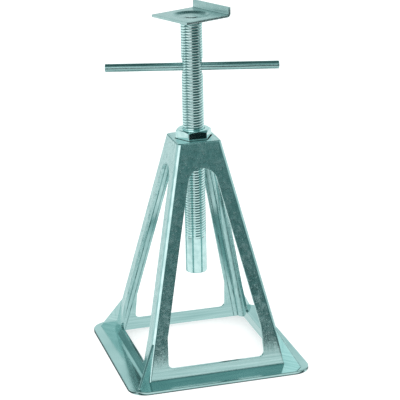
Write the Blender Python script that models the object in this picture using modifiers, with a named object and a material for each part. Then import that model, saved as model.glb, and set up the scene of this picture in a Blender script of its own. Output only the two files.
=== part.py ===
"""Screw jack stand: a cast pyramid base, a captive nut, a threaded tube, a cross bar and a swivel saddle.

Metres, +Z up. The origin is the centre of the base on the ground, the front of the base faces -Y,
and the jack's axis is the Z axis. The tube stands at the height where its bar is half-way up.
"""
import math

import bmesh
import bpy
from mathutils import Matrix, Vector

# Driving dimensions of the cast base
FLANGE_HALF = 0.0872
FLANGE_CORNER = 0.017
FLANGE_THICK = 0.003
FRAME_HALF = 0.0691
FRAME_TOP = 0.214
FRAME_TAPER = 0.225
FRAME_EDGE = 0.0035
WALL = 0.0031
CEILING = 0.198
WINDOW_LOW = 0.0126
WINDOW_KINK = 0.0408
WINDOW_HALF_LOW = 0.0463
WINDOW_CORNER = 0.005
WINDOW_TOP = 0.1907
LEG_WIDTH = 0.0147
FIN_THICK = 0.0025
FIN_HEIGHT = 0.037
FIN_FOOT = 0.0785

# Driving dimensions of the thread, nut and tube
PITCH = 0.0025
THREAD_RADIUS = 0.010
THREAD_DEPTH = 0.00155
THREAD_CLEARANCE = 0.0004
THREAD_STEPS = 16
NUT_FLATS = 0.030
NUT_FACE = 0.0285
NUT_LOW = 0.2063
NUT_HIGH = 0.2223
TUBE_LOW = 0.0815
TUBE_HIGH = 0.3214
SHANK_RADIUS = 0.0101
SHANK_HIGH = 0.1165
RUN_OUT = 0.0045
SHANK_EDGE = 0.0008
SCREW_CLEARANCE = 0.0009
TUBE_BORE = 0.006

# Driving dimensions of the cross bar
BAR_RADIUS = 0.00375
BAR_LENGTH = 0.160
BAR_EDGE = 0.0005
BAR_HEIGHT = 0.2807
BAR_TURN = math.radians(-15.5)
DIMPLE_RADIUS = 0.0066
DIMPLE_DEPTH = 0.0013

# Driving dimensions of the saddle and its swivel
SADDLE_SIDE = 0.0508
SADDLE_THICK = 0.0024
SADDLE_HIGH = 0.3288
SADDLE_TURN = math.radians(23.6)
LIP_HEIGHT = 0.0068
LIP_BEND = 0.0032
DISH_RIM = 0.0150
DISH_FLOOR = 0.0100
DISH_DEPTH = 0.0046
PLUG_LENGTH = 0.012
RIVET_RADIUS = 0.003
RIVET_HEAD = 0.0055
RIVET_HEAD_HEIGHT = 0.0012
RIVET_TAIL = 0.0045
RIVET_TAIL_HEIGHT = 0.002
RIVET_CLEARANCE = 0.0006

# Gap between touching pieces, overshoot of a cutter past a face, and facets of a round
GAP = 0.0003
PAST = 0.005
ROUND_STEPS = 32
ARC_STEPS = 6
SMOOTH_ANGLE = math.radians(35)

# Pieces that stay on the ground when the jack is wound
FIXED_PIECES = ("base_casting", "lift_nut")


def frame_half(z):
    """Half width of the pyramid's outer faces at a height."""
    return FRAME_HALF - FRAME_TAPER * z


def clear_scene():
    """Remove what the opened file holds."""
    for obj in list(bpy.data.objects):
        bpy.data.objects.remove(obj, do_unlink=True)


def make_collection(name):
    """Add a collection to the scene."""
    coll = bpy.data.collections.new(name)
    bpy.context.scene.collection.children.link(coll)
    return coll


def make_material(name, colour, roughness, metallic=1.0):
    """A plain metal finish."""
    mat = bpy.data.materials.new(name)
    mat.use_nodes = True
    shader = mat.node_tree.nodes["Principled BSDF"]
    shader.inputs["Base Color"].default_value = (*colour, 1.0)
    shader.inputs["Roughness"].default_value = roughness
    shader.inputs["Metallic"].default_value = metallic
    return mat


def add_object(name, mesh, coll):
    """Put a mesh in a collection as an object at the origin."""
    obj = bpy.data.objects.new(name, mesh)
    coll.objects.link(obj)
    return obj


def from_bmesh(name, bm, coll):
    """Turn a bmesh into an object."""
    mesh = bpy.data.meshes.new(name)
    bm.to_mesh(mesh)
    bm.free()
    return add_object(name, mesh, coll)


def evaluated_mesh(obj):
    """A copy of an object's mesh with its modifiers applied."""
    graph = bpy.context.evaluated_depsgraph_get()
    return bpy.data.meshes.new_from_object(obj.evaluated_get(graph))


def weld(mesh, distance=1e-6):
    """Join the points of a mesh that coincide."""
    bm = bmesh.new()
    bm.from_mesh(mesh)
    bmesh.ops.remove_doubles(bm, verts=bm.verts, dist=distance)
    bm.to_mesh(mesh)
    bm.free()


def cone(name, coll, radius_low, radius_high, low, high, sides=ROUND_STEPS):
    """An upright cone, cylinder or prism between two heights, with a corner on the X axis."""
    bm = bmesh.new()
    place = Matrix.Translation((0.0, 0.0, (low + high) / 2)) @ Matrix.Rotation(math.pi / 2, 4, "Z")
    bmesh.ops.create_cone(bm, cap_ends=True, segments=sides, radius1=radius_low, radius2=radius_high,
                          depth=high - low, matrix=place)
    return from_bmesh(name, bm, coll)


def pyramid(name, coll, half_low, half_high, low, high, edge, round_top):
    """A square frustum with rounded slanting edges, and a rounded top if asked."""
    bm = bmesh.new()
    place = Matrix.Translation((0.0, 0.0, (low + high) / 2)) @ Matrix.Rotation(math.pi / 4, 4, "Z")
    bmesh.ops.create_cone(bm, cap_ends=True, segments=4, radius1=half_low * math.sqrt(2),
                          radius2=half_high * math.sqrt(2), depth=high - low, matrix=place)
    middle = (low + high) / 2
    picked = []
    for line in bm.edges:
        above = [vert.co.z > middle for vert in line.verts]
        if above[0] != above[1] or (round_top and all(above)):
            picked.append(line)
    bmesh.ops.bevel(bm, geom=picked, offset=edge, segments=ARC_STEPS, profile=0.5, affect="EDGES")
    return from_bmesh(name, bm, coll)


def turned(name, coll, profile):
    """A round piece from a profile of (radius, height) points that run from the top down its outer side."""
    mesh = bpy.data.meshes.new(name)
    points = [(radius, 0.0, height) for radius, height in profile]
    mesh.from_pydata(points, [(i, i + 1) for i in range(len(points) - 1)], [])
    obj = add_object(name, mesh, coll)
    screw = obj.modifiers.new("turn", "SCREW")
    screw.steps = ROUND_STEPS
    screw.render_steps = ROUND_STEPS
    screw.use_merge_vertices = True
    screw.merge_threshold = 1e-6
    obj.data = evaluated_mesh(obj)
    obj.modifiers.clear()
    weld(obj.data)
    return obj


def arc(centre, radius, start, stop, steps=ARC_STEPS):
    """Points of an arc in a plane, both ends included."""
    points = []
    for i in range(steps + 1):
        angle = start + (stop - start) * i / steps
        points.append((centre[0] + radius * math.cos(angle), centre[1] + radius * math.sin(angle)))
    return points


def plate(name, coll, outline, thick, place):
    """A flat outline given thickness, centred on its own plane and then placed by a matrix."""
    curve = bpy.data.curves.new(name, "CURVE")
    curve.dimensions = "2D"
    curve.fill_mode = "BOTH"
    curve.extrude = thick / 2
    spline = curve.splines.new("POLY")
    spline.points.add(len(outline) - 1)
    for point, (x, y) in zip(spline.points, outline):
        point.co = (x, y, 0.0, 1.0)
    spline.use_cyclic_u = True
    drawn = add_object(name + "_outline", curve, coll)
    mesh = evaluated_mesh(drawn)
    bpy.data.objects.remove(drawn, do_unlink=True)
    weld(mesh)
    mesh.transform(place)
    return add_object(name, mesh, coll)


def combine(target, operand, operation):
    """Add a Boolean to a piece; the operand becomes a wire guide."""
    operand.hide_render = True
    operand.display_type = "WIRE"
    step = target.modifiers.new(operand.name, "BOOLEAN")
    step.operation = operation
    step.solver = "EXACT"
    step.object = operand


def finish_piece(obj, material):
    """Apply a piece's modifiers, shade it smooth between its edges and give it its finish."""
    mesh = evaluated_mesh(obj)
    obj.modifiers.clear()
    obj.data = mesh
    mesh.name = obj.name
    weld(mesh)
    mesh.materials.clear()
    mesh.materials.append(material)
    for face in mesh.polygons:
        face.material_index = 0
    mesh.shade_smooth()
    mesh.set_sharp_from_angle(angle=SMOOTH_ANGLE)


def thread(name, coll, radius, low, high):
    """A solid right-hand thread of sharp form, its helix on the same phase whatever its length."""
    first = math.floor(low / PITCH) * PITCH
    turns = math.ceil((high - first) / PITCH)
    root = radius - THREAD_DEPTH
    mesh = bpy.data.meshes.new(name)
    profile = [(root, 0.0, PITCH), (radius, 0.0, PITCH / 2), (root, 0.0, 0.0)]
    mesh.from_pydata(profile, [(0, 1), (1, 2)], [])
    obj = add_object(name, mesh, coll)
    screw = obj.modifiers.new("helix", "SCREW")
    screw.steps = THREAD_STEPS
    screw.render_steps = THREAD_STEPS
    screw.screw_offset = PITCH
    screw.iterations = turns
    screw.use_merge_vertices = False
    swept = evaluated_mesh(obj)
    obj.modifiers.clear()
    swept.transform(Matrix.Translation((0.0, 0.0, first)))
    bm = bmesh.new()
    bm.from_mesh(swept)
    bmesh.ops.remove_doubles(bm, verts=bm.verts, dist=1e-6)
    middle = first + (turns + 1) * PITCH / 2
    for upper in (False, True):
        rim = [line for line in bm.edges
               if line.is_boundary and (line.verts[0].co.z > middle) == upper]
        made = bmesh.ops.extrude_edge_only(bm, edges=rim)["geom"]
        verts = [item for item in made if isinstance(item, bmesh.types.BMVert)]
        height = sum(vert.co.z for vert in verts) / len(verts)
        bmesh.ops.pointmerge(bm, verts=verts, merge_co=Vector((0.0, 0.0, height)))
    bmesh.ops.recalc_face_normals(bm, faces=bm.faces)
    bm.to_mesh(swept)
    bm.free()
    obj.data = swept
    return obj


def flange_outline():
    """A square with round corners."""
    side = FLANGE_HALF - FLANGE_CORNER
    outline = []
    for quarter in range(4):
        angle = quarter * math.pi / 2
        centre = (math.copysign(side, math.cos(angle + math.pi / 4)),
                  math.copysign(side, math.sin(angle + math.pi / 4)))
        outline += arc(centre, FLANGE_CORNER, angle, angle + math.pi / 2)
    return outline


def window_outline():
    """A tall window with leaning sides, an arched head and round lower corners, in its own plane."""
    lean = math.atan(FRAME_TAPER)
    head = frame_half(WINDOW_TOP) - LEG_WIDTH
    radius = head * math.cos(lean) / (1 - math.sin(lean))
    centre = WINDOW_TOP - radius
    kink = frame_half(WINDOW_KINK) - LEG_WIDTH
    inner = WINDOW_HALF_LOW - WINDOW_CORNER
    outline = [(kink, WINDOW_KINK)]
    outline += arc((0.0, centre), radius, lean, math.pi - lean, 3 * ARC_STEPS)
    outline += [(-kink, WINDOW_KINK)]
    outline += arc((-inner, WINDOW_LOW + WINDOW_CORNER), WINDOW_CORNER, math.pi, 1.5 * math.pi)
    outline += arc((inner, WINDOW_LOW + WINDOW_CORNER), WINDOW_CORNER, 1.5 * math.pi, 2 * math.pi)
    return outline


def fin_outline():
    """A triangular web that leans on a leg's edge, drawn outward along the base's diagonal."""
    apex = frame_half(FIN_HEIGHT) * math.sqrt(2) - FRAME_EDGE * (math.sqrt(2) - 1)
    root = apex - FRAME_EDGE
    foot = FIN_FOOT * math.sqrt(2)
    sunk = FLANGE_THICK / 2
    return [(root, sunk), (foot, sunk), (foot, FLANGE_THICK), (apex, FIN_HEIGHT), (root, FIN_HEIGHT)]


def build_base(parts, guides):
    """The casting: pyramid shell, flange, corner fins, windows, nut pocket and bore."""
    base = pyramid("base_casting", parts, FRAME_HALF, frame_half(FRAME_TOP), 0.0, FRAME_TOP, FRAME_EDGE, True)
    upright = Matrix.Rotation(math.pi / 2, 4, "X")
    flange = plate("flange", guides, flange_outline(), FLANGE_THICK,
                   Matrix.Translation((0.0, 0.0, FLANGE_THICK / 2)))
    combine(base, flange, "UNION")
    for corner in range(4):
        turn = Matrix.Rotation(math.pi / 4 + corner * math.pi / 2, 4, "Z")
        fin = plate("fin_%d" % corner, guides, fin_outline(), FIN_THICK, turn @ upright)
        combine(base, fin, "UNION")
    inner_low = frame_half(-PAST) - WALL
    inner_high = frame_half(CEILING) - WALL
    cavity = pyramid("cavity", guides, inner_low, inner_high, -PAST, CEILING, FRAME_EDGE, True)
    combine(base, cavity, "DIFFERENCE")
    through = 2 * (FRAME_HALF + PAST)
    for side in range(2):
        turn = Matrix.Rotation(side * math.pi / 2, 4, "Z")
        window = plate("window_%d" % side, guides, window_outline(), through, turn @ upright)
        combine(base, window, "DIFFERENCE")
    pocket_radius = (NUT_FLATS / 2 + GAP) / math.cos(math.pi / 6)
    pocket = cone("nut_pocket", guides, pocket_radius, pocket_radius, NUT_LOW - GAP, FRAME_TOP + PAST, 6)
    combine(base, pocket, "DIFFERENCE")
    bore_radius = SHANK_RADIUS + SCREW_CLEARANCE
    bore = cone("screw_bore", guides, bore_radius, bore_radius, CEILING - PAST, NUT_LOW + GAP)
    combine(base, bore, "DIFFERENCE")
    return base


def build_nut(parts, guides):
    """A hexagon nut, chamfered on both faces and threaded through."""
    corner = NUT_FLATS / 2 / math.cos(math.pi / 6)
    nut = cone("lift_nut", parts, corner, corner, NUT_LOW, NUT_HIGH, 6)
    face = NUT_FACE / 2
    outer = corner + GAP
    drop = (outer - face) * math.tan(math.pi / 6)
    crown = turned("nut_crown", guides, [
        (0.0, NUT_HIGH), (face, NUT_HIGH), (outer, NUT_HIGH - drop),
        (outer, NUT_LOW + drop), (face, NUT_LOW), (0.0, NUT_LOW)])
    combine(nut, crown, "INTERSECT")
    tap_radius = THREAD_RADIUS + THREAD_CLEARANCE
    tap = thread("nut_tap", guides, tap_radius, NUT_LOW - 2 * PITCH, NUT_HIGH + 2 * PITCH)
    combine(nut, tap, "DIFFERENCE")
    return nut


def build_screw(parts, guides):
    """The threaded tube: thread, plain shank that stops it in the nut, bore and pierced cross hole."""
    screw = thread("lift_screw", parts, THREAD_RADIUS, SHANK_HIGH - 2 * PITCH, TUBE_HIGH + 2 * PITCH)
    outer = THREAD_RADIUS + GAP
    root = THREAD_RADIUS - THREAD_DEPTH
    envelope = turned("thread_envelope", guides, [
        (0.0, TUBE_HIGH), (root, TUBE_HIGH), (outer, TUBE_HIGH - outer + root),
        (outer, SHANK_HIGH), (0.0, SHANK_HIGH)])
    combine(screw, envelope, "INTERSECT")
    shank = turned("shank", guides, [
        (0.0, SHANK_HIGH + RUN_OUT), (root - GAP, SHANK_HIGH + RUN_OUT), (SHANK_RADIUS, SHANK_HIGH),
        (SHANK_RADIUS, TUBE_LOW + SHANK_EDGE), (SHANK_RADIUS - SHANK_EDGE, TUBE_LOW), (0.0, TUBE_LOW)])
    combine(screw, shank, "UNION")
    bore = cone("tube_bore", guides, TUBE_BORE, TUBE_BORE, TUBE_LOW - PAST, TUBE_HIGH + PAST)
    combine(screw, bore, "DIFFERENCE")
    across = Matrix.Translation((0.0, 0.0, BAR_HEIGHT)) @ Matrix.Rotation(BAR_TURN, 4, "Z")
    hole_radius = BAR_RADIUS + GAP
    throat = THREAD_RADIUS - DIMPLE_DEPTH
    mouth = THREAD_RADIUS + PAST
    flare = hole_radius + (mouth - throat) * (DIMPLE_RADIUS - hole_radius) / DIMPLE_DEPTH
    hole = turned("cross_hole", guides, [
        (0.0, mouth), (flare, mouth), (hole_radius, throat),
        (hole_radius, -throat), (flare, -mouth), (0.0, -mouth)])
    hole.data.transform(across @ Matrix.Rotation(math.pi / 2, 4, "Y"))
    combine(screw, hole, "DIFFERENCE")
    return screw


def build_bar(parts):
    """The cross bar, with its cut ends broken a little."""
    half = BAR_LENGTH / 2
    bar = turned("tommy_bar", parts, [
        (0.0, half), (BAR_RADIUS - BAR_EDGE, half), (BAR_RADIUS, half - BAR_EDGE),
        (BAR_RADIUS, BAR_EDGE - half), (BAR_RADIUS - BAR_EDGE, -half), (0.0, -half)])
    lie = Matrix.Rotation(BAR_TURN, 4, "Z") @ Matrix.Rotation(math.pi / 2, 4, "Y")
    bar.data.transform(lie)
    bar.location = (0.0, 0.0, BAR_HEIGHT)
    return bar


def build_plug(parts):
    """The plug pressed into the tube's top, bored for the rivet."""
    outer = TUBE_BORE - GAP
    inner = RIVET_RADIUS + GAP
    low = TUBE_HIGH - PLUG_LENGTH
    return turned("top_plug", parts, [
        (inner, TUBE_HIGH), (outer, TUBE_HIGH), (outer, low), (inner, low), (inner, TUBE_HIGH)])


def build_rivet(parts):
    """The rivet that the saddle and the tube turn on: low head in the dish, tail under the plug."""
    seat = SADDLE_HIGH - DISH_DEPTH + GAP
    low = TUBE_HIGH - PLUG_LENGTH - GAP
    dome = RIVET_HEAD_HEIGHT / 2
    return turned("swivel_rivet", parts, [
        (0.0, seat + RIVET_HEAD_HEIGHT), (RIVET_HEAD - dome, seat + RIVET_HEAD_HEIGHT),
        (RIVET_HEAD, seat + dome), (RIVET_HEAD, seat), (RIVET_RADIUS, seat), (RIVET_RADIUS, low),
        (RIVET_TAIL, low), (RIVET_TAIL, low - RIVET_TAIL_HEIGHT), (0.0, low - RIVET_TAIL_HEIGHT)])


def saddle_profile():
    """The bent sheet seen along its bend: flat from the left, turned up into a lip at the right."""
    half = SADDLE_SIDE / 2
    outer = LIP_BEND
    inner = LIP_BEND - SADDLE_THICK
    bend = (half - outer, outer - SADDLE_THICK)
    outline = [(-half, 0.0), (-half, -SADDLE_THICK)]
    outline += arc(bend, outer, -math.pi / 2, 0.0)
    outline += [(half, LIP_HEIGHT), (half - SADDLE_THICK, LIP_HEIGHT)]
    outline += arc(bend, inner, 0.0, -math.pi / 2)
    return outline


def build_saddle(parts, guides):
    """The swivel saddle about its own middle: a square sheet with one lip and a round dish."""
    upright = Matrix.Rotation(math.pi / 2, 4, "X")
    saddle = plate("saddle_plate", parts, saddle_profile(), SADDLE_SIDE, upright)
    slope = (DISH_RIM - DISH_FLOOR) / DISH_DEPTH
    low = -DISH_DEPTH - SADDLE_THICK
    outer_floor = DISH_FLOOR + SADDLE_THICK / 2
    outer_rim = DISH_RIM + SADDLE_THICK / 2
    bowl = cone("dish_outside", guides, outer_floor, outer_rim, low, -SADDLE_THICK / 2)
    combine(saddle, bowl, "UNION")
    hollow = cone("dish_inside", guides, DISH_FLOOR, DISH_RIM + slope * PAST, -DISH_DEPTH, PAST)
    combine(saddle, hollow, "DIFFERENCE")
    hole_radius = RIVET_RADIUS + RIVET_CLEARANCE
    hole = cone("rivet_hole", guides, hole_radius, hole_radius, low - PAST, PAST)
    combine(saddle, hole, "DIFFERENCE")
    return saddle


def carry(parts, pieces):
    """Hang the pieces that rise together on an empty on the jack's axis."""
    axis = bpy.data.objects.new("lift_axis", None)
    parts.objects.link(axis)
    for piece in pieces:
        piece.parent = axis


def main():
    """Build and finish every piece, hang the rising ones on their axis, place the saddle, drop the guides."""
    clear_scene()
    parts = make_collection("screw_jack_stand")
    guides = make_collection("guides")
    cast = make_material("cast_aluminium", (0.42, 0.50, 0.50), 0.42)
    zinc = make_material("zinc_plated_steel", (0.55, 0.63, 0.63), 0.25)
    sheet = make_material("plated_sheet_steel", (0.45, 0.56, 0.56), 0.35)
    rod = make_material("bright_steel_rod", (0.50, 0.58, 0.58), 0.22)
    pieces = [
        (build_base(parts, guides), cast),
        (build_nut(parts, guides), zinc),
        (build_screw(parts, guides), zinc),
        (build_bar(parts), rod),
        (build_plug(parts), zinc),
        (build_rivet(parts), zinc),
        (build_saddle(parts, guides), sheet),
    ]
    for piece, material in pieces:
        finish_piece(piece, material)
    carry(parts, [piece for piece, _ in pieces if piece.name not in FIXED_PIECES])
    saddle = parts.objects["saddle_plate"]
    saddle.location = (0.0, 0.0, SADDLE_HIGH)
    saddle.rotation_euler = (0.0, 0.0, SADDLE_TURN)
    for guide in list(guides.objects):
        bpy.data.objects.remove(guide, do_unlink=True)
    bpy.data.collections.remove(guides)


main()
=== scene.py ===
"""Looks of a screw jack stand: finer meshes, metal finishes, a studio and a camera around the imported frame.

Metres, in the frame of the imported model: +Z up along the screw, and the front of the base faces -Y.
"""

import logging
import math
from abc import ABC, abstractmethod
from collections.abc import Callable, Iterator, Sequence
from contextlib import contextmanager
from dataclasses import dataclass
from enum import Enum
from functools import partial
from itertools import product

import bmesh
import bpy
from mathutils import Matrix, Vector


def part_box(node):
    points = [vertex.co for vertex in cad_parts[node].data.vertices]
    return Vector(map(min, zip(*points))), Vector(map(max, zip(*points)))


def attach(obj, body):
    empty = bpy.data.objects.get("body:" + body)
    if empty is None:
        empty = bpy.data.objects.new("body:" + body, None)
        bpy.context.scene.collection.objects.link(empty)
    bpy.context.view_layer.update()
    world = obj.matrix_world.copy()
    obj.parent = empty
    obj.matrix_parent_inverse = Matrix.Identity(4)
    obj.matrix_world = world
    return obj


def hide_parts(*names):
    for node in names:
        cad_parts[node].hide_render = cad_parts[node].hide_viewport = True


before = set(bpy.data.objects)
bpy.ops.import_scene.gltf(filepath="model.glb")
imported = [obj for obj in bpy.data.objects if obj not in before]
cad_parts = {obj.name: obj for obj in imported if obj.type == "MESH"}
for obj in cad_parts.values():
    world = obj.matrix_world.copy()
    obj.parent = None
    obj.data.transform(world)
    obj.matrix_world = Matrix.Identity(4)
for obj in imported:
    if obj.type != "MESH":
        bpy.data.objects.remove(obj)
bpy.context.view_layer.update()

MM = 0.001
WELD = 1e-6
CENTRE = (0.0, 0.0, 0.0)
BAR_HEIGHT = 280.7 * MM
BAR_TURN = -15.5
LOG = logging.getLogger("screw_jack_stand")

Pair = tuple[float, float]
Profile = Sequence[Pair]
Element = bmesh.types.BMEdge | bmesh.types.BMFace
Obj = bpy.types.Object
Socket = bpy.types.NodeSocket
Adder = Callable[..., Socket]
Paint = tuple[Socket, Socket, Socket]


class Op(Enum):
    """What a Boolean does with its second solid."""

    JOIN = "UNION"
    CUT = "DIFFERENCE"
    KEEP = "INTERSECT"


class Kind(Enum):
    """The elements that are picked in edit mode, by what a mesh calls them."""

    EDGE = "edges"
    FACE = "faces"


class Slot(Enum):
    """The material slots."""

    CAST = "cast_aluminium"
    ZINC = "zinc_plated_steel"
    ROD = "bright_steel_rod"
    SHEET = "plated_sheet_steel"


# Operators on one object at a time


def take(obj: Obj) -> None:
    """Select one object alone and make it the active one."""
    bpy.ops.object.select_all(action="DESELECT")
    obj.select_set(True)
    bpy.context.view_layer.objects.active = obj


@contextmanager
def editing(obj: Obj) -> Iterator[None]:
    """Hold an object in edit mode, and return to object mode afterwards.

    Args:
        obj: The object to edit.
    """
    take(obj)
    bpy.ops.object.mode_set(mode="EDIT")
    yield
    bpy.ops.object.mode_set(mode="OBJECT")


def pick(kind: Kind, test: Callable[[Element], bool]) -> None:
    """Select the elements of the mesh in edit mode that pass a test, and nothing else.

    Args:
        kind: What to select.
        test: Says whether an element is wanted.
    """
    bpy.ops.mesh.select_mode(type=kind.name)
    bpy.ops.mesh.select_all(action="DESELECT")
    mesh = bpy.context.edit_object.data
    bm = bmesh.from_edit_mesh(mesh)
    for item in [item for item in getattr(bm, kind.value) if test(item)]:
        item.select_set(True)
    bm.select_flush_mode()
    bmesh.update_edit_mesh(mesh)


def faces_up(face: bmesh.types.BMFace) -> bool:
    """Whether a face is level and faces up."""
    return face.normal.z > 0.9


def rise(edge: bmesh.types.BMEdge) -> float:
    """How much higher one end of an edge is than the other."""
    return abs(edge.verts[0].co.z - edge.verts[1].co.z)


def round_edges(test: Callable[[Element], bool], offset: float, segments: int, curve: float = 0.5) -> None:
    """Bevel the edges in edit mode that pass a test, round at a curve of 0.5 and hollow below 0.25."""
    pick(Kind.EDGE, test)
    bpy.ops.mesh.bevel(offset=offset, segments=segments, profile=curve, affect="EDGES")


def pull(step: Sequence[float]) -> None:
    """Extrude the selected faces by a step."""
    bpy.ops.mesh.extrude_region_move(TRANSFORM_OT_translate={"value": tuple(step)})


def pull_edges(height: float) -> None:
    """Extrude the selected edges upwards."""
    bpy.ops.mesh.extrude_edges_move(TRANSFORM_OT_translate={"value": (0.0, 0.0, height)})


def stretch(scale: Sequence[float], about: Sequence[float]) -> None:
    """Scale what is selected about a point."""
    bpy.ops.transform.resize(value=tuple(scale), center_override=tuple(about))


def settle(obj: Obj, name: str) -> Obj:
    """Name an object and move its place, turn and size into its mesh.

    Args:
        obj: The object to settle.
        name: Its new name.

    Returns:
        The same object, at the origin.
    """
    take(obj)
    obj.name = name
    obj.data.name = name
    bpy.ops.object.transform_apply(location=True, rotation=True, scale=True)
    return obj


def modify(obj: Obj, kind: str, **settings: object) -> None:
    """Add a modifier, set it and apply it.

    Args:
        obj: The object to change.
        kind: The modifier's type.
        **settings: Its properties.
    """
    take(obj)
    step = obj.modifiers.new(kind.lower(), kind)
    for key, value in settings.items():
        setattr(step, key, value)
    bpy.ops.object.modifier_apply(modifier=step.name)


def break_edges(obj: Obj, width: float, segments: int, degrees: float) -> None:
    """Bevel all edges of an object that turn by more than so many degrees."""
    modify(obj, "BEVEL", width=width, segments=segments, limit_method="ANGLE",
           angle_limit=math.radians(degrees))


def combine(obj: Obj, other: Obj, op: Op) -> None:
    """Join, cut or keep a solid with another one, which is then removed."""
    modify(obj, "BOOLEAN", operation=op.value, solver="MANIFOLD", object=other)
    bpy.data.objects.remove(other, do_unlink=True)


def tidy_mesh(obj: Obj, merge: float = WELD) -> None:
    """Merge doubled points and turn all faces outwards.

    Args:
        obj: The object to tidy.
        merge: Points closer than this become one.
    """
    with editing(obj):
        bpy.ops.mesh.select_all(action="SELECT")
        bpy.ops.mesh.remove_doubles(threshold=merge)
        bpy.ops.mesh.normals_make_consistent(inside=False)


# Shapes that more than one piece is made of


def block(name: str, size: Sequence[float], middle: Sequence[float]) -> Obj:
    """Add a box to start a shape from.

    Args:
        name: The object's name.
        size: Its three sides.
        middle: Its middle.

    Returns:
        The box.
    """
    bpy.ops.object.select_all(action="DESELECT")
    bpy.ops.mesh.primitive_cube_add(size=1.0, location=tuple(middle), scale=tuple(size))
    return settle(bpy.context.object, name)


def prism(name: str, sides: int, radius: float, bottom: float, top: float) -> Obj:
    """Add an upright prism with a corner on the X axis.

    Args:
        name: The object's name.
        sides: Number of its sides.
        radius: From the axis to a corner.
        bottom: Its lower height.
        top: Its upper height.

    Returns:
        The prism.
    """
    bpy.ops.object.select_all(action="DESELECT")
    bpy.ops.mesh.primitive_cylinder_add(
        vertices=sides, radius=radius, depth=top - bottom, location=(0.0, 0.0, (bottom + top) / 2),
        rotation=(0.0, 0.0, math.pi / 2))
    return settle(bpy.context.object, name)


def hex_corner(flats: float) -> float:
    """From the axis to a corner of a hexagon so wide across its flats."""
    return flats / 2 / math.cos(math.pi / 6)


def drawn_line(name: str, points: Profile) -> Obj:
    """Draw a line of edges in the XZ plane, point after point.

    Args:
        name: The object's name.
        points: Pairs of X and Z.

    Returns:
        The line as an object.
    """
    bpy.ops.object.select_all(action="DESELECT")
    bpy.ops.mesh.primitive_plane_add(size=MM)
    obj = settle(bpy.context.object, name)
    with editing(obj):
        bpy.ops.mesh.select_mode(type="VERT")
        bpy.ops.mesh.select_all(action="SELECT")
        bpy.ops.mesh.merge(type="CENTER")
        bpy.ops.transform.translate(value=(points[0][0], 0.0, points[0][1]))
        for (x0, z0), (x1, z1) in zip(points, points[1:]):
            bpy.ops.mesh.extrude_vertices_move(TRANSFORM_OT_translate={"value": (x1 - x0, 0.0, z1 - z0)})
    return obj


def turned(name: str, points: Profile, steps: int = 64) -> Obj:
    """Spin a profile round the Z axis into a closed solid.

    Args:
        name: The object's name.
        points: Pairs of radius and height, from axis to axis or closed on themselves.
        steps: Facets round the axis.

    Returns:
        The solid.
    """
    obj = drawn_line(name, points)
    with editing(obj):
        bpy.ops.mesh.select_all(action="SELECT")
        bpy.ops.mesh.spin(steps=steps, angle=2 * math.pi, center=CENTRE, axis=(0.0, 0.0, 1.0))
    tidy_mesh(obj)
    return obj


def arc(centre: Pair, radius: float, start: float, stop: float, steps: int) -> list[Pair]:
    """Points of an arc in a plane from one angle in degrees to another, both ends included."""
    angles = [math.radians(start + (stop - start) * i / steps) for i in range(steps + 1)]
    return [(centre[0] + radius * math.cos(a), centre[1] + radius * math.sin(a)) for a in angles]


@dataclass
class ThreadForm:
    """A right-hand metric thread with a worn crest, as a solid that others cut or are cut by."""

    pitch: float = 2.5 * MM
    radius: float = 10.0 * MM
    depth: float = 0.65 * MM
    crest: float = 1.45 * MM
    shoulder: float = 0.2 * MM
    drop: float = 0.08 * MM
    root: float = 0.15 * MM
    steps: int = 48

    def profile(self, grow: float) -> list[Pair]:
        """One pitch of the thread from the top down.

        Args:
            grow: How much to add to every radius.

        Returns:
            Pairs of radius and height.
        """
        high = self.radius + grow
        low = high - self.depth
        middle = self.pitch / 2
        half = self.crest / 2
        side = half + self.shoulder
        return [
            (low, self.pitch), (low, self.pitch - self.root / 2),
            (high - self.drop, middle + side), (high, middle + half),
            (high, middle - half), (high - self.drop, middle - side),
            (low, self.root / 2), (low, 0.0)]

    def solid(self, name: str, bottom: float, top: float, grow: float = 0.0) -> Obj:
        """A threaded solid that reaches at least two turns past two heights, on one phase with its nut.

        Args:
            name: The object's name.
            bottom: The lower height.
            top: The upper height.
            grow: How much to add to every radius.

        Returns:
            The closed solid.
        """
        first = math.floor((bottom - 2 * self.pitch) / self.pitch) * self.pitch
        turns = math.ceil((top + 2 * self.pitch - first) / self.pitch)
        obj = drawn_line(name, [(r, z + first) for r, z in self.profile(grow)])
        modify(obj, "SCREW", steps=self.steps, render_steps=self.steps, screw_offset=self.pitch,
               iterations=turns, use_merge_vertices=False)
        middle = first + (turns + 1) * self.pitch / 2
        with editing(obj):
            bpy.ops.mesh.select_all(action="SELECT")
            bpy.ops.mesh.remove_doubles(threshold=WELD)
            for upper in (False, True):
                pick(Kind.EDGE, lambda e, up=upper: e.is_boundary and (e.verts[0].co.z > middle) == up)
                bpy.ops.mesh.extrude_edges_move()
                bpy.ops.mesh.merge(type="CENTER")
        tidy_mesh(obj)
        return obj


THREAD = ThreadForm()


# Pieces


@dataclass
class Piece(ABC):
    """A piece of the stand: its body, the node that it stands for, its material slot and its shading."""

    body: str
    node: str
    slot: Slot
    sharp: float = 30.0

    @abstractmethod
    def build(self) -> Obj:
        """Make the finished mesh."""

    def shade(self, obj: Obj) -> None:
        """Shade a mesh smooth, with its corners past the piece's own angle kept sharp."""
        take(obj)
        bpy.ops.object.shade_smooth_by_angle(angle=math.radians(self.sharp))

    def dress(self, material: bpy.types.Material) -> None:
        """Build the piece and give it its finish, its body and the node that it stands for.

        Args:
            material: Its finish.
        """
        piece = self.build()
        piece.data.materials.clear()
        piece.data.materials.append(material)
        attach(piece, self.body)
        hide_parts(self.node)
        faces = len(piece.data.polygons)
        LOG.info("%s stands for %s on %s, %d faces", piece.name, self.node, self.body, faces)


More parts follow.
